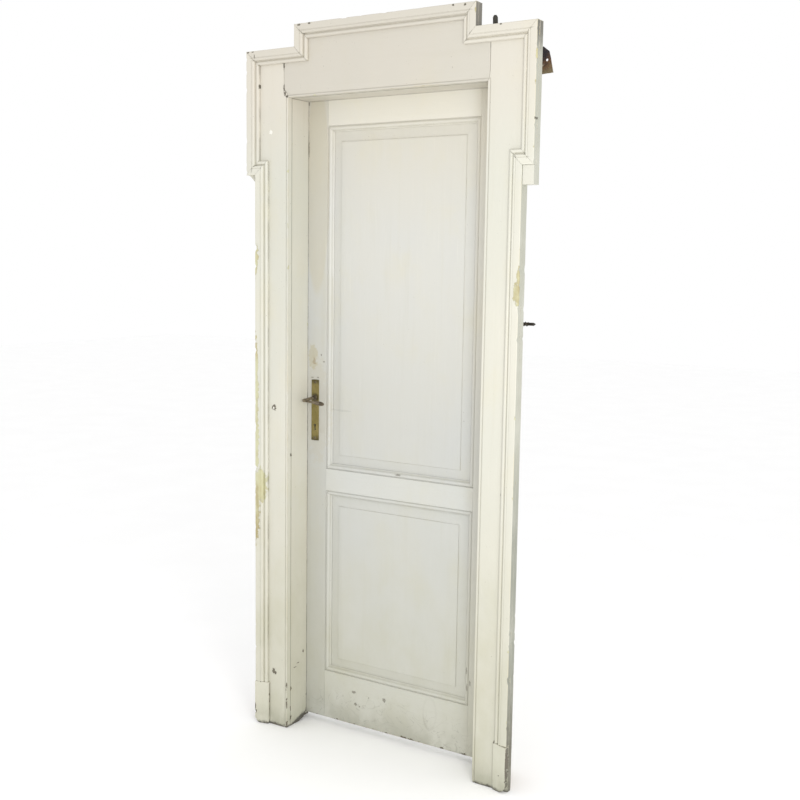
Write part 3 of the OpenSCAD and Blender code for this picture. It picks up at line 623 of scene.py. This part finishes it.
def as_piece(bm, name, body, material, stands_for, smooth=36, worn_box=None, painted_light=1.0):
    """Turns the bmesh into a piece that rides on a body and stands for the CAD nodes named.

    Its edges wear where they lie on the edges of worn_box, which is the piece's own box if none is given,
    and tone makes its paint lighter or darker, as painted light and shade.
    """
    if not bm.verts.layers.float.get("groove"):
        mark_grooves(bm)
    mesh = bpy.data.meshes.new(name)
    bmesh.ops.recalc_face_normals(bm, faces=bm.faces)
    bm.to_mesh(mesh)
    bm.free()
    piece = bpy.data.objects.new(name, mesh)
    bpy.context.scene.collection.objects.link(piece)
    mesh.shade_smooth()
    mesh.set_sharp_from_angle(angle=math.radians(smooth))
    if worn_box is None:
        places = [v.co for v in mesh.vertices]
        worn_box = [[pick(c[i] for c in places) for i in range(3)] for pick in (min, max)]
    for side, corner in zip(("low", "high"), worn_box):
        layer = mesh.attributes.new(side, "FLOAT_VECTOR", "POINT")
        layer.data.foreach_set("vector", list(corner) * len(mesh.vertices))
    # the tone of a piece is its painted light and shade
    layer = mesh.attributes.new("painted_light", "FLOAT", "POINT")
    layer.data.foreach_set("value", [painted_light] * len(mesh.vertices))
    mesh.materials.append(material)
    flatter = piece.modifiers.new("flatter", "WEIGHTED_NORMAL")
    flatter.keep_sharp = True
    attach(piece, body)
    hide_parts(*stands_for)


def wobble(at, grain, seed=0.0):
    """Smooth noise from -1 to 1 at a place, with the size of its lumps in metres."""
    return noise.noise(Vector(at) / grain + Vector((seed, 2.0 * seed, 3.0 * seed)))


def ease(value, start, end):
    """0 before start, 1 after end, smooth between."""
    t = min(1.0, max(0.0, (value - start) / (end - start)))
    return t * t * (3 - 2 * t)


def sink(bm, depth, grain, seed=0.0, run=None):
    """Moves every point in, unevenly, by up to depth, but not the ends of a run, which meet a mitre."""
    bm.normal_update()
    ends = set()
    if run:
        ends = {v for f in bm.faces if abs(f.normal.dot(AXES[run])) > 0.5 for v in f.verts}
    for v in bm.verts:
        if v not in ends:
            v.co += v.normal * (-depth * (0.5 + 0.5 * wobble(v.co, grain, seed)))


def open_ends(bm, axis, gap):
    """Draws the cut ends of a moulding back, unevenly, so that its mitres show as dark lines."""
    along = AXES[axis]
    bm.normal_update()
    ends = {}
    for f in bm.faces:
        facing = f.normal.dot(along)
        if abs(facing) > 0.5:
            for v in f.verts:
                ends[v] = -math.copysign(1, facing)
    for v, way in ends.items():
        v.co += along * way * gap * (0.55 + 0.45 * wobble(v.co, 0.02, 5.0))


def round_corner(bm, edge, bottom, radius, axis="x", seed=0.0):
    """Wears the lower corner at edge along axis to a lumpy round; bottom is the height of its foot."""
    i = "xyz".index(axis)
    ends = [pick(v.co[i] for v in bm.verts) for pick in (min, max)]
    inward = 1 if abs(edge - ends[0]) < abs(edge - ends[1]) else -1
    for v in bm.verts:
        reach = radius * (0.92 + 0.12 * wobble(v.co, 0.012, seed))
        across = reach - (v.co[i] - edge) * inward
        down = reach - (v.co.z - bottom)
        far = math.hypot(across, down)
        if across > 0 and down > 0 and far > reach:
            v.co[i] += inward * across * (1 - reach / far)
            v.co.z += down * (1 - reach / far)


def gnaw(bm, edge_x, front_y, depth, lumps=0.028, reach=0.009, zones=None):
    """Breaks pieces off the vertical arris at edge_x, front_y."""
    inward = -math.copysign(1, edge_x)
    for v in bm.verts:
        near = ease(reach - abs(v.co.x - edge_x), 0.0, reach)
        if near == 0:
            continue
        splinters = 0.35 * wobble((0, v.co.y, v.co.z), 0.008, 3.0)
        bitten = ease(wobble((0, 0, v.co.z), lumps, 7.0) + splinters, 0.12, 0.6)
        zone = 1.0
        if zones:
            zone = max(ease(half - abs(v.co.z - middle), 0.0, 0.02) for middle, half in zones)
        nearer_front = 1.0 - ease(v.co.y - front_y, 0.004, 0.03)
        v.co.x += inward * depth * near * bitten * zone
        v.co.y += depth * 0.6 * near * bitten * zone * nearer_front


def wear_foot(bm, height, depth, seed):
    """Rounds and crumbles the lowest stretch of a board that has stood on damp floors."""
    ends = [[pick(v.co[i] for v in bm.verts) for pick in (min, max)] for i in (0, 1)]
    for v in bm.verts:
        if v.co.z > height:
            continue
        down = 1 - v.co.z / height
        off = [(2 * v.co[i] - ends[i][0] - ends[i][1]) / (ends[i][1] - ends[i][0]) for i in (0, 1)]
        lump = 0.65 + 0.6 * wobble(v.co, 0.017, seed)
        for i, share in ((0, 1.0), (1, 0.7)):
            v.co[i] -= math.copysign(1, off[i]) * depth * share * down ** 3 * abs(off[i]) ** 3 * lump
        corner = max(abs(off[0]), abs(off[1])) ** 3
        crumbs = max(0.0, 0.25 + 0.9 * wobble(v.co, 0.012, seed + 4))
        v.co.z += depth * (0.04 + 0.5 * corner) * down ** 2 * crumbs


# -------------------- the frame's timber

def timber(node, along, step=0.03, arris=0.0013, across=()):
    """A sliced copy of a wooden node, with softened arrises and a hand-planed surface."""
    moulded = along if node.startswith("mould") else None
    bm = welded(node)
    soften(bm, arris, narrow=0.003, along=moulded)
    bottom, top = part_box(node)
    i = "xyz".index(along)
    slice_across(bm, along, steps(bottom[i], top[i], step))
    for axis, places in across:
        slice_across(bm, axis, places)
    mark_grooves(bm)
    sink(bm, 0.0005, 0.09, run=moulded)
    return bm


def near_sides(node, axis, insets):
    i = "xyz".index(axis)
    return [low(node)[i] + d for d in insets] + [high(node)[i] - d for d in insets]


LEAF_BOX = (low("stile_lock"), high("stile_hinge"))
LEVEL = {"casing_head", "lining_head", "rebate_head", "mould_top"}  # boards whose grain runs level
LEVEL |= {f"mould_{side}_{run}" for side in ("left", "right") for run in ("return", "shoulder")}
FOOT_CUTS = [0.002, 0.005, 0.009, 0.014, 0.020, 0.028, 0.037, 0.047]
FOOT, FOOT_WEAR = 0.04, 0.004  # height of the worn stretch of a foot, and how deep its wear goes
CHIPPED = {  # where the outer arris is gnawed: middle and half length of each stretch
    "left": [(1.575, 0.07), (1.25, 0.09), (1.02, 0.12), (0.82, 0.18), (0.30, 0.05)],
    "right": [(1.51, 0.07), (1.40, 0.08), (0.95, 0.06), (0.45, 0.14), (0.20, 0.06)],
}
PAINTED_LIGHT_BY_BOARD = {  # painted light and shade: how much lighter or darker each board's paint is made, beside the others
    "casing_head": 0.84, "casing_left": 0.96, "casing_right": 0.935, "mould_top": 0.86,
    "mould_left_shoulder": 0.90, "mould_left_ear": 0.96, "mould_left_rise": 0.92,
    "mould_right_rise": 0.93, "mould_right_shoulder": 0.94, "mould_right_lower": 0.95,
    "mould_right_ear": 0.95, "lining_left": 0.96, "lining_head": 0.88, "stile_lock": 0.89,
    "stile_hinge": 1.02, "rail_top": 1.06, "rail_bottom": 0.97, "panel_upper": 0.93,
    "panel_lower": 0.95, "bead_upper_front": 0.96, "bead_lower_front": 0.96,
}


def finish_timber(bm, node, body):
    along = "x" if node in LEVEL or node.startswith("rail") else "z"
    as_piece(bm, node + "_wood", body, PAINTS[body, along], [node],
             worn_box=LEAF_BOX if body == "leaf" else None, painted_light=PAINTED_LIGHT_BY_BOARD.get(node, 1.0))


for side, hand in (("left", -1), ("right", 1)):
    board = f"casing_{side}"
    fine = steps(0.35, 1.75, 0.010) if side == "right" else steps(0.60, 1.75, 0.010)
    bm = timber(board, "z", across=[
        ("z", FOOT_CUTS), ("z", fine), ("x", near_sides(board, "x", [0.005, 0.012, 0.03, 0.06])),
        ("x", [hand * (LOW_OUT - 0.006), hand * (LOW_OUT - 0.02)])])
    wear_foot(bm, FOOT, FOOT_WEAR, 2.0 + hand)
    gnaw(bm, hand * LOW_OUT, BOARD_Y, 0.004, zones=CHIPPED[side])
    finish_timber(bm, board, "frame")

    leg = f"mould_{side}_lower"
    bm = timber(leg, "z", step=0.007)
    gnaw(bm, hand * LOW_OUT, MOULD_Y, 0.0040, zones=CHIPPED[side], reach=0.012)
    open_ends(bm, "z", 0.0003)
    finish_timber(bm, leg, "frame")

    for run, axis, gap in (
            ("return", "x", 0), ("ear", "z", 0), ("shoulder", "x", 0.0006), ("rise", "z", 0.0006)):
        node = f"mould_{side}_{run}"
        bm = timber(node, axis, step=0.008)
        if run == "ear":
            gnaw(bm, hand * EAR_OUT, MOULD_Y, 0.0022, lumps=0.02)
        if gap:
            open_ends(bm, axis, gap)
        finish_timber(bm, node, "frame")

    lining = f"lining_{side}"
    bm = timber(lining, "z", across=[
        ("z", FOOT_CUTS), ("x", near_sides(lining, "x", [0.004, 0.010])),
        ("y", near_sides(lining, "y", [0.004, 0.010, 0.018, 0.027, 0.036, 0.045]))])
    wear_foot(bm, FOOT, FOOT_WEAR, 6.0 + hand)
    round_corner(bm, high(lining).y, 0.0, 0.046, "y", 6.0)
    finish_timber(bm, lining, "frame")

    rebate = f"rebate_{side}"
    finish_timber(timber(rebate, "z"), rebate, "frame")

bm = timber("casing_head", "x", across=[("z", steps(low("casing_head").z, high("casing_head").z, 0.03))])
finish_timber(bm, "casing_head", "frame")
bm = timber("mould_top", "x", step=0.008)
for v in bm.verts:
    upper = ease(v.co.z, high("mould_top").z - 0.010, high("mould_top").z)
    v.co.z -= 0.0022 * upper * ease(wobble((v.co.x, 0, 0), 0.03, 9.0), 0.1, 0.5)
finish_timber(bm, "mould_top", "frame")
for node in ("lining_head", "rebate_head"):
    finish_timber(timber(node, "x"), node, "frame")


def plinth(side):
    """A plinth block, worn round at its foot, with splinters off its outer arris."""
    node = f"plinth_{side}"
    bm = welded(node)
    soften(bm, 0.002)
    dice(bm, node, 0.0035, 0.2)
    mark_grooves(bm)
    hand = -1 if side == "left" else 1
    gnaw(bm, hand * LOW_OUT, low(node).y, 0.006 if side == "right" else 0.003, lumps=0.016, reach=0.010)
    wear_foot(bm, 0.045, FOOT_WEAR, 11.0 + hand)
    round_corner(bm, hand * LOW_OUT, 0.0, 0.034 if side == "right" else 0.026, "x", 3.0)
    sink(bm, 0.0006, 0.006, 2.0)
    if side == "right":
        slope = 0.003 / (high(node).x - low(node).x)
        for v in bm.verts:
            v.co.z -= ease(v.co.z, PLINTH_Z - 0.02, PLINTH_Z) * slope * (v.co.x - low(node).x)
    finish_timber(bm, node, "frame")


plinth("left")
plinth("right")


# -------------------- the leaf's timber

for node in ("stile_lock", "stile_hinge"):
    bm = timber(node, "z", step=0.04, arris=0.0003, across=[("z", [0.012, 0.02, 0.03])])
    finish_timber(bm, node, "leaf")
for node in ("rail_top", "rail_middle", "rail_bottom"):
    finish_timber(timber(node, "x", step=0.04, arris=0.0003), node, "leaf")
for node in ("panel_upper", "panel_lower"):
    bm = timber(node, "z", step=0.05, arris=0.0008, across=[("x", steps(-0.25, 0.25, 0.05))])
    finish_timber(bm, node, "leaf")
for node in ("bead_upper_front", "bead_upper_back", "bead_lower_front", "bead_lower_back"):
    bm = welded(node)
    soften(bm, 0.0006)
    mark_grooves(bm)
    finish_timber(bm, node, "leaf")


# -------------------- ironmongery

def hard(node, body, material, arris=0.0004, dents=0.0, cell=None):
    """A metal node with its edges eased, and beaten or pitted where it is old ironwork."""
    bm = welded(node)
    soften(bm, arris, shortest=0.0015, sharpest=40)
    if cell:
        dice(bm, node, cell, 0.15)
        sink(bm, dents, 0.006, 1.0)
    as_piece(bm, node + "_metal", body, material, [node])


for place in ("bottom", "middle", "top"):
    hard(f"hinge_frame_{place}", "frame", METALS["hinge"])
    hard(f"hinge_leaf_{place}", "leaf", METALS["hinge"])
    hard(f"hinge_pin_{place}", "frame", METALS["pin"], arris=0.0006)
for node, body, arris in (
        ("strike_plate", "frame", 0.0004), ("lock_forend", "leaf", 0.0004), ("lock_case", "leaf", 0.0004),
        ("latch_bolt", "latch", 0.0006), ("dead_bolt", "dead_bolt", 0.0006), ("follower", "lever", 0.0004),
        ("spindle", "lever", 0.0006)):
    hard(node, body, METALS["steel"], arris)
for node in ("anchor_left", "anchor_right"):
    hard(node, "frame", METALS["rust"], arris=0.0005, dents=0.0007, cell=0.006)
hard("nail", "frame", METALS["black"], dents=0.0006, cell=0.004)
for node in ("plate_front", "plate_back"):
    hard(node, "leaf", METALS["brass"], arris=0.0007)


def stitch(bm, rings):
    """Joins rings of vertices into a closed tube."""
    count = len(rings[0])
    for a, b in zip(rings, rings[1:]):
        for k in range(count):
            bm.faces.new((a[k], a[(k + 1) % count], b[(k + 1) % count], b[k]))
    bm.faces.new(rings[0][::-1])
    bm.faces.new(rings[-1])


def lathe(bm, outline, matrix, sides=32, radius=None):
    """Turns an outline of (radius, height) about +Z; radius(r, h, angle) may change each point."""
    rings = []
    for r, h in outline:
        ring = []
        for k in range(sides):
            turn = 2 * math.pi * k / sides
            reach = radius(r, h, turn) if radius else r
            ring.append(bm.verts.new(matrix @ Vector((reach * math.cos(turn), reach * math.sin(turn), h))))
        rings.append(ring)
    stitch(bm, rings)


def screw_mesh(length, proud):
    """A countersunk slotted screw along +Z, its head's rim at height 0, as a mesh."""
    head = 3.9 * MM
    outline = [(0.2 * MM, -proud), (0.55 * head, -0.8 * proud), (0.9 * head, -0.25 * proud), (head, 0.1 * MM),
               (head, 0.35 * MM), (1.95 * MM, 2.0 * MM), (1.95 * MM, length - 2 * MM), (0.4 * MM, length)]
    bm = bmesh.new()
    lathe(bm, outline, Matrix(), sides=24)
    bmesh.ops.recalc_face_normals(bm, faces=bm.faces)
    body = bpy.data.meshes.new("screw_body")
    bm.to_mesh(body)
    bm.free()
    bm = bmesh.new()
    bmesh.ops.create_cube(bm, size=1.0, matrix=Matrix.Translation((0, 0, -proud)) @ Matrix.Diagonal(
        (3 * head, 1.1 * MM, 2.0 * MM, 1)))
    slot = bpy.data.meshes.new("screw_slot")
    bm.to_mesh(slot)
    bm.free()
    holders = [bpy.data.objects.new(mesh.name, mesh) for mesh in (body, slot)]
    for holder in holders:
        bpy.context.scene.collection.objects.link(holder)
    cut = holders[0].modifiers.new("slot", "BOOLEAN")
    cut.object = holders[1]
    cut.solver = "EXACT"
    bpy.context.view_layer.update()
    ready = bpy.data.meshes.new_from_object(holders[0].evaluated_get(bpy.context.evaluated_depsgraph_get()))
    for holder in holders:
        bpy.data.objects.remove(holder)
    return ready


def islands(node):
    """The corners of each separate solid of a node, in the order of their lowest corners."""
    bm = welded(node)
    left = set(bm.verts)
    groups = []
    while left:
        stack = [left.pop()]
        group = []
        while stack:
            v = stack.pop()
            group.append(v.co.copy())
            for e in v.link_edges:
                other = e.other_vert(v)
                if other in left:
                    left.discard(other)
                    stack.append(other)
        groups.append(group)
    bm.free()
    return sorted(groups, key=lambda g: [round(min(p[i] for p in g), 4) for i in range(3)])


def screws(node, body, material, proud):
    """Slotted screws where the node's plain ones are, each with its slot turned its own way."""
    bm = bmesh.new()
    for points in islands(node):
        bottom = Vector([min(p[i] for p in points) for i in range(3)])
        top = Vector([max(p[i] for p in points) for i in range(3)])
        size = top - bottom
        i = max(range(3), key=lambda k: size[k])
        middle = (bottom + top) / 2
        wide = max(points, key=lambda p: (p - middle - AXES["xyz"[i]] * (p - middle)[i]).length)
        driven = AXES["xyz"[i]] * (1 if wide[i] < middle[i] else -1)
        head = middle.copy()
        head[i] = bottom[i] if driven[i] > 0 else top[i]
        turn = Matrix.Rotation(random.uniform(0, math.pi), 4, "Z")
        place = Matrix.Translation(head) @ driven.to_track_quat("Z", "Y").to_matrix().to_4x4() @ turn
        mesh = screw_mesh(size[i], proud)
        mesh.transform(place)
        bm.from_mesh(mesh)
        bpy.data.meshes.remove(mesh)
    as_piece(bm, node + "_slotted", body, material, [node], smooth=30)


screws("plate_screws", "leaf", METALS["bronze"], proud=0.0006)
screws("leaf_screws", "leaf", METALS["steel"], proud=0.0002)
screws("frame_screws", "frame", METALS["steel"], proud=0.0002)


def wall_screw():
    """A coarse screw run into the frame's side, with a true helix for its thread."""
    bottom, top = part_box("wall_screw")
    core, crest, pitch = 4.6 * MM, (top.y - bottom.y) / 2, 9 * MM
    length = top.x - bottom.x

    def radius(r, h, turn):
        threaded = ease(h, 23 * MM, 27 * MM) * (1 - ease(h, length - 24 * MM, length - 20 * MM))
        phase = (h / pitch - turn / (2 * math.pi)) % 1.0
        ridge = max(0.0, 1 - abs(phase - 0.5) / 0.28) ** 0.8
        rusty = 1 - 0.06 * (0.5 + 0.5 * wobble((r * math.cos(turn), r * math.sin(turn), h), 0.005))
        return r * rusty + threaded * ridge * (crest - core)

    rows = 150
    outline = []
    for k in range(rows + 1):
        h = length * k / rows
        r = core - 0.6 * MM * (1 - ease(h, 20 * MM, 24 * MM))
        r += 1.6 * MM * ease(h, 16 * MM, 23 * MM) * (1 - ease(h, 24 * MM, 32 * MM))
        r -= 2.6 * MM * ease(h, length - 5 * MM, length)
        outline.append((r, h))
    at = Vector((bottom.x, (bottom.y + top.y) / 2, (bottom.z + top.z) / 2))
    bm = bmesh.new()
    lathe(bm, outline, Matrix.Translation(at) @ Matrix.Rotation(math.pi / 2, 4, "Y"), sides=40, radius=radius)
    as_piece(bm, "wall_screw_threaded", "frame", METALS["black"], ["wall_screw"], smooth=50)


wall_screw()


def sweep(bm, path, sections, sides=28):
    """A closed tube along path; each section is (half height along +Z, half thickness, dish)."""
    rings = []
    for k, at in enumerate(path):
        ahead = (path[min(k + 1, len(path) - 1)] - path[max(k - 1, 0)]).normalized()
        up = Vector((0, 0, 1))
        side = ahead.cross(up).normalized()
        tall, thick, dish = sections[k]
        ring = []
        for j in range(sides):
            turn = 2 * math.pi * j / sides
            c, w = math.cos(turn), math.sin(turn)
            inner = max(0.0, w) * (1 - ease(abs(c), 0.45, 0.80))
            ring.append(bm.verts.new(at + up * tall * c + side * (thick * w - dish * inner)))
        rings.append(ring)
    stitch(bm, rings)


def curve_through(points, count):
    """Points spread along a smooth curve through the given ones (Catmull-Rom)."""
    ends = [2 * points[0] - points[1]] + points + [2 * points[-1] - points[-2]]
    made = []
    for k in range(count + 1):
        t = k / count * (len(points) - 1)
        i = min(int(t), len(points) - 2)
        f = t - i
        a, b, c, d = ends[i:i + 4]
        made.append(0.5 * ((2 * b) + (c - a) * f + (2 * a - 5 * b + 4 * c - d) * f ** 2
                           + (3 * b - a - 3 * c + d) * f ** 3))
    return made


def lever(node, back):
    """A bronze lever: turned rose, leaning neck, tight elbow and a grip that swells to a dished oval end."""
    droop = math.radians(4.6)
    face = PIVOT.y - LEAF_Y
    out = face + 55 * MM
    bm = bmesh.new()
    rose = [(7.9, 3.0), (7.9, 5.6), (9.4, 6.0), (9.6, 7.0), (9.0, 8.2), (7.2, 9.0), (6.8, 10.2), (7.4, 11.0),
            (7.3, 12.0), (6.2, 13.4), (5.3, 16.0), (4.9, 20.0), (4.0, 21.0)]
    toward = Matrix.Translation((0, -face, 0)) @ Matrix.Rotation(math.pi / 2, 4, "X")
    lathe(bm, [(r * MM, h * MM) for r, h in rose], toward, sides=36)
    neck = [Vector((x * MM, -y, z * MM)) for x, y, z in (
        (0, face + 12 * MM, 0), (-1.3, face + 22 * MM, -0.8), (-3.8, face + 36 * MM, -3.0),
        (-7.4, face + 48.5 * MM, -5.4), (-7.0, out + 0.6 * MM, -6), (1, out + 0.5 * MM, -6.2),
        (14, out - 0.6 * MM, -6.2), (34, out - 0.2 * MM, -5.8), (57, out + 0.8 * MM, -5.8),
        (76, out + 0.2 * MM, -6))]
    rings = 120
    path = curve_through(neck, rings)
    shape = []
    for k, p in enumerate(path):
        x = p.x / MM
        grip = ease(k / rings, 0.40, 0.52)
        tall = 4.7 * (1 - grip) + (3.9 + 3.2 * ease(x, 24, 52)) * grip
        thick = 4.5 * (1 - grip) + (3.7 - 0.3 * ease(x, 24, 52)) * grip
        tip = math.sqrt(max(0.004, 1 - max(0.0, (x - 62) / 14.05) ** 2))
        dish = 1.9 * grip * ease(x, 35, 46) * (1 - ease(x, 65, 71))
        shape.append((tall * tip * MM, thick * (0.35 + 0.65 * tip) * MM, dish * MM))
    sweep(bm, path, shape)
    flip = Matrix.Scale(-1, 4, Vector((0, 1, 0))) if back else Matrix()
    placed = Matrix.Translation(PIVOT) @ Matrix.Rotation(droop, 4, "Y") @ flip
    bmesh.ops.transform(bm, matrix=placed, verts=bm.verts)
    as_piece(bm, node + "_cast", "lever", METALS["bronze"], [node], smooth=45)


lever("lever_front", back=False)
lever("lever_back", back=True)


# -------------------- floor, light and camera

def plain(name, colour, rough):
    s = Shader(name)
    dust = s.noise((3, 3, 3), detail=3)
    shade = s.mix(s.ramp(dust, 0.3, 0.7), colour, tuple(0.985 * c for c in colour))
    return s.finish(shade, s.ramp(dust, 0.3, 0.7, rough - 0.04, rough + 0.04), s.bump(dust, 0.0001))


def floor():
    bm = bmesh.new()
    bmesh.ops.create_grid(bm, x_segments=8, y_segments=8, size=15)
    mesh = bpy.data.meshes.new("floor")
    bm.to_mesh(mesh)
    bm.free()
    sheet = bpy.data.objects.new("floor", mesh)
    mesh.materials.append(plain("floor_pale", hue("FFFFFF"), 0.8))
    bpy.context.scene.collection.objects.link(sheet)


def soft_light(name, at, target, size, power, colour=(1, 1, 1)):
    data = bpy.data.lights.new(name, "AREA")
    data.shape = "DISK"
    data.size = size
    data.energy = power
    data.color = colour
    lamp = bpy.data.objects.new(name, data)
    lamp.location = at
    lamp.rotation_euler = (Vector(target) - Vector(at)).to_track_quat("-Z", "Y").to_euler()
    bpy.context.scene.collection.objects.link(lamp)


def photographer():
    """A standing person's view of the door from the right, at eye level, tipped slightly down."""
    yaw, pitch, roll = 0.57395, -0.12405, 0.01341
    forward = Vector((-math.sin(yaw) * math.cos(pitch), math.cos(yaw) * math.cos(pitch), math.sin(pitch)))
    right = Vector((math.cos(yaw), math.sin(yaw), 0))
    up = right.cross(forward)
    tilted_right = right * math.cos(roll) + up * math.sin(roll)
    tilted_up = up * math.cos(roll) - right * math.sin(roll)
    data = bpy.data.cameras.new("camera")
    data.sensor_width = 36
    data.lens = 51.37
    data.shift_x = 0.0145
    data.shift_y = 0.0063
    data.clip_end = 60
    camera = bpy.data.objects.new("camera", data)
    turn = Matrix((tilted_right, tilted_up, -forward)).transposed().to_4x4()
    camera.matrix_world = Matrix.Translation((1.9275, -2.9455, 1.5673)) @ turn
    bpy.context.scene.collection.objects.link(camera)
    bpy.context.scene.camera = camera


floor()
world = bpy.data.worlds.new("studio")
world.use_nodes = True
world.node_tree.nodes["Background"].inputs["Color"].default_value = (1.0, 1.0, 1.0, 1.0)
world.node_tree.nodes["Background"].inputs["Strength"].default_value = 1.0
bpy.context.scene.world = world
soft_light("key", (1.9, -1.9, 1.45), (0, 0, 1.3), 0.9, 30, (1.0, 0.99, 0.975))
bpy.context.scene.view_settings.view_transform = "Standard"
photographer()
